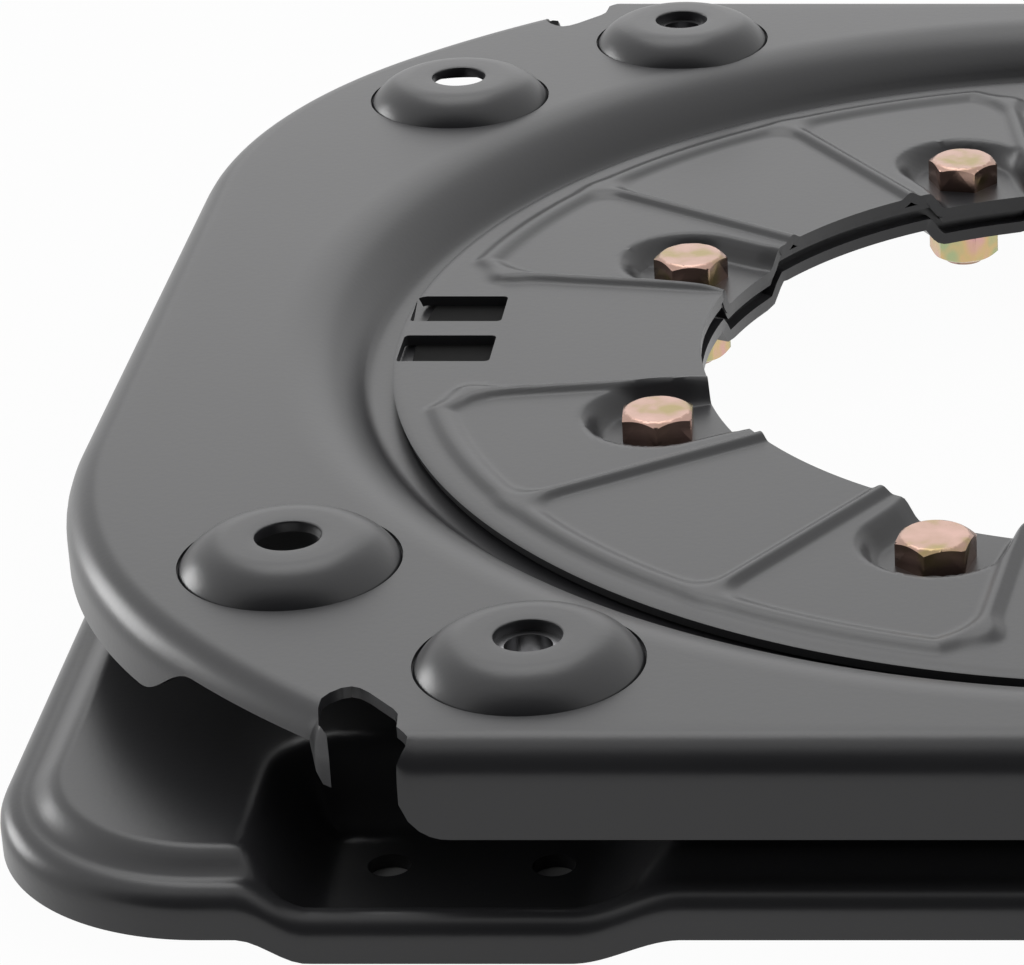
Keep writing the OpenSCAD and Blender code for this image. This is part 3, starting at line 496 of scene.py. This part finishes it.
# Seat bosses: domes drawn up from the flat top, creased at the foot, each with a 14 mm hole.
boss_line = [(7.0, 53.0), (7.0, 54.4), (7.15, 54.8), (7.5, 55.0), (10.0, 55.0), (12.5, 55.0)]
for k in range(1, 11):
    a = math.radians(90 - 58 * k / 10)
    boss_line.append((12.5 + 12.4 * math.cos(a), 55.0 - 12.4 + 12.4 * math.sin(a)))
boss_line += [(23.35, 48.4), (23.6, 47.9), (26.0, 47.8), (26.0, 46.6), (22.0, 46.6), (20.0, 50.2), (16.0, 52.3),
              (12.5, 52.5), (7.0, 52.5)]
for x, y in ((183, 141), (127, 187)):
    for sx in (1, -1):
        for sy in (1, -1):
            bpy.ops.object.select_all(action="DESELECT")
            bpy.ops.mesh.primitive_cylinder_add(vertices=72, radius=0.0238, depth=0.012,
                                                location=(sx * x * MM, sy * y * MM, TOP * MM))
            cutter = bpy.context.object
            bpy.ops.object.transform_apply(location=True, rotation=True, scale=True)
            cut_away(upper, cutter)

            def boss_corner(i, j, cx=sx * x, cy=sy * y):
                a = 2 * math.pi * i / 72
                r, z = boss_line[j % len(boss_line)]
                return cx + r * math.cos(a), cy + r * math.sin(a), z

            cut_away(upper, grid_piece("boss", 72, len(boss_line), boss_corner), "UNION")
bpy.ops.object.select_all(action="DESELECT")
upper.select_set(True)
bpy.context.view_layer.objects.active = upper
bpy.ops.object.shade_smooth_by_angle(angle=math.radians(30))
finish_with(upper, "WEIGHTED_NORMAL", keep_sharp=True, weight=100)
upper.data.materials.clear()
upper.data.materials.append(coat)
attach(upper, "turntable")
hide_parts("upper_plate")

# Clamp disc.
# Pressed 2.5 mm sheet that holds the turning rim down. Soft raised beads stiffen it in four
# groups, eight sunk seats take the bolts, and its left side has two slots.
DISC_TOP = 40.5
# The beads of one group: radius of the curved one, of the side's outer end, and the directions
# of the inner ribs, the side's outer end and its inner end from the group's middle, in degrees.
RING_R, SIDE_R = 170.4, 162.0
RIB_TURN, CORNER_TURN, END_TURN = 11.0, 32.3, 29.6
SEAT_FLOOR_R, SEAT_SLOPE, SEAT_DEPTH = 12.8, 5.0, 5.0
SLOT_LONG, SLOT_WIDE, SLOT_MIDDLE = 22.2, 15.5, -167.6


def near_line(x, y, ax, ay, bx, by):
    """Distance from a point to a straight run."""
    t = ((x - ax) * (bx - ax) + (y - ay) * (by - ay)) / ((bx - ax) ** 2 + (by - ay) ** 2)
    t = min(max(t, 0.0), 1.0)
    return math.hypot(x - ax - t * (bx - ax), y - ay - t * (by - ay))


def join_soft(a, b, k):
    """The smaller of two distances, flared where they meet."""
    h = min(max(0.5 + 0.5 * (b - a) / k, 0.0), 1.0)
    return b + (a - b) * h - k * h * (1 - h)


def disc_height(x, y):
    """Height of the disc's top face over its flat level, before its own thickness."""
    r = math.hypot(x, y)
    turn = math.degrees(math.atan2(y, x)) % 90 - 45
    gx, gy = r * math.cos(math.radians(turn)), abs(r * math.sin(math.radians(turn)))
    a_in, a_out, end = math.radians(RIB_TURN), math.radians(CORNER_TURN), math.radians(END_TURN)
    rx, ry = RING_R * math.cos(end), RING_R * math.sin(end)
    ring = abs(r - RING_R) if abs(turn) < END_TURN else math.hypot(gx - rx, gy - ry)
    ox, oy = SIDE_R * math.cos(a_out), SIDE_R * math.sin(a_out)
    corner = near_line(gx, gy, rx, ry, ox, oy)
    side = near_line(gx, gy, ox, oy, 104 * math.cos(end), 104 * math.sin(end))
    rib = near_line(gx, gy, 100 * math.cos(a_in), 100 * math.sin(a_in), 168 * math.cos(a_in), 168 * math.sin(a_in))
    # The curved beads are broader and lower than the straight ones.
    broad = soft(r, 160.0, 168.0)
    d = join_soft(join_soft(min(ring, corner), side, 7.0), rib, 7.0)
    half = 3.3 + 1.3 * broad
    lift = (1.5 - 0.35 * broad) * (0.5 + 0.5 * math.cos(math.pi * min(max(d, 0.0), half) / half))
    seat = bolt_seat(x, y, SEAT_FLOOR_R, SEAT_SLOPE)
    return lift * (1 - seat) - SEAT_DEPTH * seat


# The grid is close where a bead or a seat needs it, and wide elsewhere.
disc_turns = []
for quarter in range(4):
    t = -45.0
    while t < 44.99:
        disc_turns.append(90 * quarter + 45 + t)
        near = abs(t)
        t += 0.3 if 8.4 < near < 13.6 or 27.4 < near < 34.4 else 0.5 if 13.0 < near < 28.0 else 1.0
disc_radii = [OPENING + 35.0 * k / 24 for k in range(25)] + [142.0 + 2.2 * k for k in range(1, 10)]
disc_radii += [163.2 + 0.85 * k for k in range(16)] + [178.0, 179.6, 180.0]


def disc_corner(i, j):
    turn = math.radians(disc_turns[i % len(disc_turns)])
    r = disc_radii[j]
    x, y = r * math.cos(turn), r * math.sin(turn)
    return x, y, DISC_TOP + disc_height(x, y) - 0.4 * soft(r, 178.8, 180.2)


disc = grid_piece("clamp_disc_pressed", len(disc_turns), len(disc_radii) - 1, disc_corner)
face_up(disc)
finish_with(disc, "SOLIDIFY", thickness=SHEET * MM, offset=-1.0)
for y in (-8.7, 15.5):
    bpy.ops.object.select_all(action="DESELECT")
    bpy.ops.mesh.primitive_cube_add(size=1.0, location=(SLOT_MIDDLE * MM, y * MM, 0.039),
                                    scale=(SLOT_LONG * MM, SLOT_WIDE * MM, 0.012))
    cutter = bpy.context.object
    bpy.ops.object.transform_apply(location=True, rotation=True, scale=True)
    finish_with(cutter, "BEVEL", width=0.0012, segments=3, affect="EDGES")
    cut_away(disc, cutter)
for k in range(8):
    a = math.radians(22.5 + 45 * k)
    bpy.ops.object.select_all(action="DESELECT")
    bpy.ops.mesh.primitive_cylinder_add(vertices=48, radius=BOLT_HOLE_R * MM, depth=0.02,
                                        location=(BOLT_CIRCLE * MM * math.cos(a), BOLT_CIRCLE * MM * math.sin(a),
                                                  0.035))
    cutter = bpy.context.object
    bpy.ops.object.transform_apply(location=True, rotation=True, scale=True)
    cut_away(disc, cutter)
bpy.ops.object.select_all(action="DESELECT")
disc.select_set(True)
bpy.context.view_layer.objects.active = disc
bpy.ops.object.shade_smooth_by_angle(angle=math.radians(40))
disc.data.materials.clear()
disc.data.materials.append(coat)
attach(disc, "base")
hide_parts("clamp_disc")

# Clamp bolts, nuts and washers.
# Cold-headed steel with yellow passivated zinc, whose thin film shifts from pinkish gold on the
# heads to green and rose on the nuts. The washers are painted with the plates.
for kind, colours in (("bolt", ("#94845a", "#a98c7e", "#b5958a")), ("nut", ("#a9b58a", "#d0b483", "#d6a6a2"))):
    zinc, tree, shader, coords = new_material(f"yellow passivated zinc on a steel {kind}")
    shader.inputs["Metallic"].default_value = 1.0
    shader.inputs["Roughness"].default_value = 0.27
    # The film's colour drifts over about 8 mm.
    film = add_node(tree, "ShaderNodeTexNoise", [("Vector", coords)], Scale=120.0, Detail=2.0, Roughness=0.5)
    tint = add_node(tree, "ShaderNodeValToRGB", [(0, film.outputs["Fac"])])
    tint.color_ramp.elements[0].position = 0.32
    tint.color_ramp.elements[0].color = linear(colours[0])
    tint.color_ramp.elements[1].position = 0.68
    tint.color_ramp.elements[1].color = linear(colours[2])
    middle = tint.color_ramp.elements.new(0.48)
    middle.color = linear(colours[1])
    tree.links.new(tint.outputs[0], shader.inputs["Base Color"])
    grain = add_node(tree, "ShaderNodeTexNoise", [("Vector", coords)], Scale=1500.0, Detail=2.0)
    forged = add_node(tree, "ShaderNodeBump", [("Height", grain.outputs["Fac"])], Strength=0.08, Distance=0.0002)
    tree.links.new(forged.outputs[0], shader.inputs["Normal"])
    for i in range(1, 9):
        dressed_copy(f"{kind}_{i}", "base", zinc, 25.0)
for i in range(1, 9):
    dressed_copy(f"washer_{i}", "base", coat)

# Slide rings.
# Turned black acetal under and over the turning rim, which shows only deep in the slots and the gap.
acetal, tree, shader, coords = new_material("turned black acetal")
shader.inputs["Roughness"].default_value = 0.8
shader.inputs["Specular IOR Level"].default_value = 0.15
grain = add_node(tree, "ShaderNodeTexNoise", [("Vector", coords)], Scale=300.0, Detail=2.0)
tone = add_node(tree, "ShaderNodeValToRGB", [(0, grain.outputs["Fac"])])
tone.color_ramp.elements[0].color = linear("#0c0c0c")
tone.color_ramp.elements[1].color = linear("#141414")
tree.links.new(tone.outputs[0], shader.inputs["Base Color"])
for node in ("lower_slide_ring", "upper_slide_ring"):
    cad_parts[node].data.materials.clear()
    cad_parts[node].data.materials.append(acetal)

# Weld nuts, pivot stud, wave washer and clip.
# Plain turned steel, oiled, hidden under the upper plate apart from the threads in the inner holes.
steel, tree, shader, coords = new_material("oiled turned steel")
shader.inputs["Metallic"].default_value = 1.0
shader.inputs["Roughness"].default_value = 0.28
turned = add_node(tree, "ShaderNodeTexNoise", [("Vector", coords)], Scale=400.0, Detail=3.0)
grey = add_node(tree, "ShaderNodeValToRGB", [(0, turned.outputs["Fac"])])
grey.color_ramp.elements[0].color = linear("#7c7c7e")
grey.color_ramp.elements[1].color = linear("#9a9a9c")
tree.links.new(grey.outputs[0], shader.inputs["Base Color"])
for node in ("weld_nut_1", "weld_nut_2", "weld_nut_3", "weld_nut_4", "pivot_stud", "friction_washer", "pivot_clip"):
    dressed_copy(node, "turntable", steel, 25.0)

# Lock lever and its grip.
# A flat painted bar with a moulded sleeve pushed over its end, under the plate's right edge.
dressed_copy("lock_lever", "lever", coat)
sleeve, tree, shader, coords = new_material("moulded black PVC sleeve")
shader.inputs["Roughness"].default_value = 0.6
fine = add_node(tree, "ShaderNodeTexNoise", [("Vector", coords)], Scale=900.0, Detail=2.0)
dark = add_node(tree, "ShaderNodeValToRGB", [(0, fine.outputs["Fac"])])
dark.color_ramp.elements[0].color = linear("#141414")
dark.color_ramp.elements[1].color = linear("#1e1e1e")
tree.links.new(dark.outputs[0], shader.inputs["Base Color"])
dressed_copy("lever_grip", "lever", sleeve)
